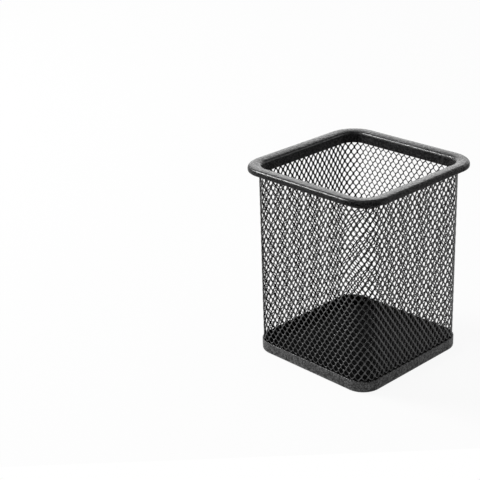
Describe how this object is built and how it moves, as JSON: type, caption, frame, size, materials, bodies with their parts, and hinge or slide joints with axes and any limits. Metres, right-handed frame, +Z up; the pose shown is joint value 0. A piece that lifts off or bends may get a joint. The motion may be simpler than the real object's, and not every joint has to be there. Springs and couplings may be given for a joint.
{
  "type": "mesh pencil cup",
  "caption": "Square open-topped pencil cup with rounded corners: a sleeve of expanded steel mesh in a pressed solid pan, under a flat flanged rim with a turned-down lip.",
  "frame": {"origin": "middle of the pan's flat underside, on the surface that the cup stands on", "axes": "+Z up, along the cup's height; X and Y square to its walls"},
  "size_m": [0.0844, 0.0844, 0.1],
  "materials": {
    "mesh_coat": "satin black powder coat on expanded steel",
    "rim_coat": "satin black powder coat on pressed steel",
    "pan_coat": "satin black powder coat on pressed steel"
  },
  "bodies": {
    "root": {"mesh_sleeve": "mesh_coat", "rim_frame": "rim_coat", "base_pan": "pan_coat"}
  },
  "joints": []
}
